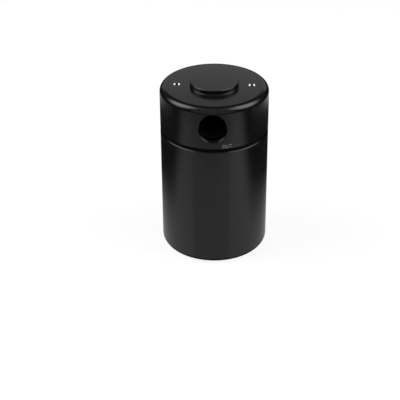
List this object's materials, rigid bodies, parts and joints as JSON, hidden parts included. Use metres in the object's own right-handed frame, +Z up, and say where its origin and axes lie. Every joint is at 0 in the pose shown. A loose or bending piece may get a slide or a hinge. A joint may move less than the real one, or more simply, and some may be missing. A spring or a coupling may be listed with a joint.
{
  "type": "oil catch can",
  "caption": "Round black metal oil catch can: a plain canister with a screw-on lid that carries a hose port front and back and a raised boss with tapped holes for a bracket on top.",
  "frame": {"origin": "centre of the canister's base, on the surface that the can stands on", "axes": "+Z up along the can's axis, -Y out of the outlet port, +Y out of the inlet port, X along the line of the two bracket screw holes"},
  "size_m": [0.076, 0.076, 0.1268],
  "materials": {
    "anodised_body": "satin black anodised",
    "bare_aluminium": "bare machined",
    "seal_rubber": "matt black",
    "stainless_plate": "punched stainless sheet",
    "plated_steel": "zinc plated",
    "knitted_wire": "knitted stainless wire"
  },
  "bodies": {
    "canister": {"canister": "anodised_body"},
    "lid_seal": {"lid_seal": "seal_rubber"},
    "lid": {"lid": "anodised_body", "inlet_tube": "bare_aluminium", "centre_stud": "plated_steel", "stud_sleeve": "bare_aluminium", "upper_plate": "stainless_plate", "wire_pad": "knitted_wire", "lower_plate": "stainless_plate", "stud_washer": "plated_steel", "stud_nut": "plated_steel"}
  },
  "joints": [
    {"name": "lid_rise", "type": "slide", "parent": "canister", "child": "lid_seal", "axis": [0, 0, 1], "range_m": [0, 0.01201]},
    {"name": "lid_turn", "type": "hinge", "parent": "lid_seal", "child": "lid", "pos_m": [0, 0, 0.0905], "axis": [0, 0, 1], "range_deg": [0, 2160]}
  ],
  "couplings": [
    {"joint": "lid_rise", "follows": "lid_turn", "m_per_rad": 0.00031831}
  ]
}
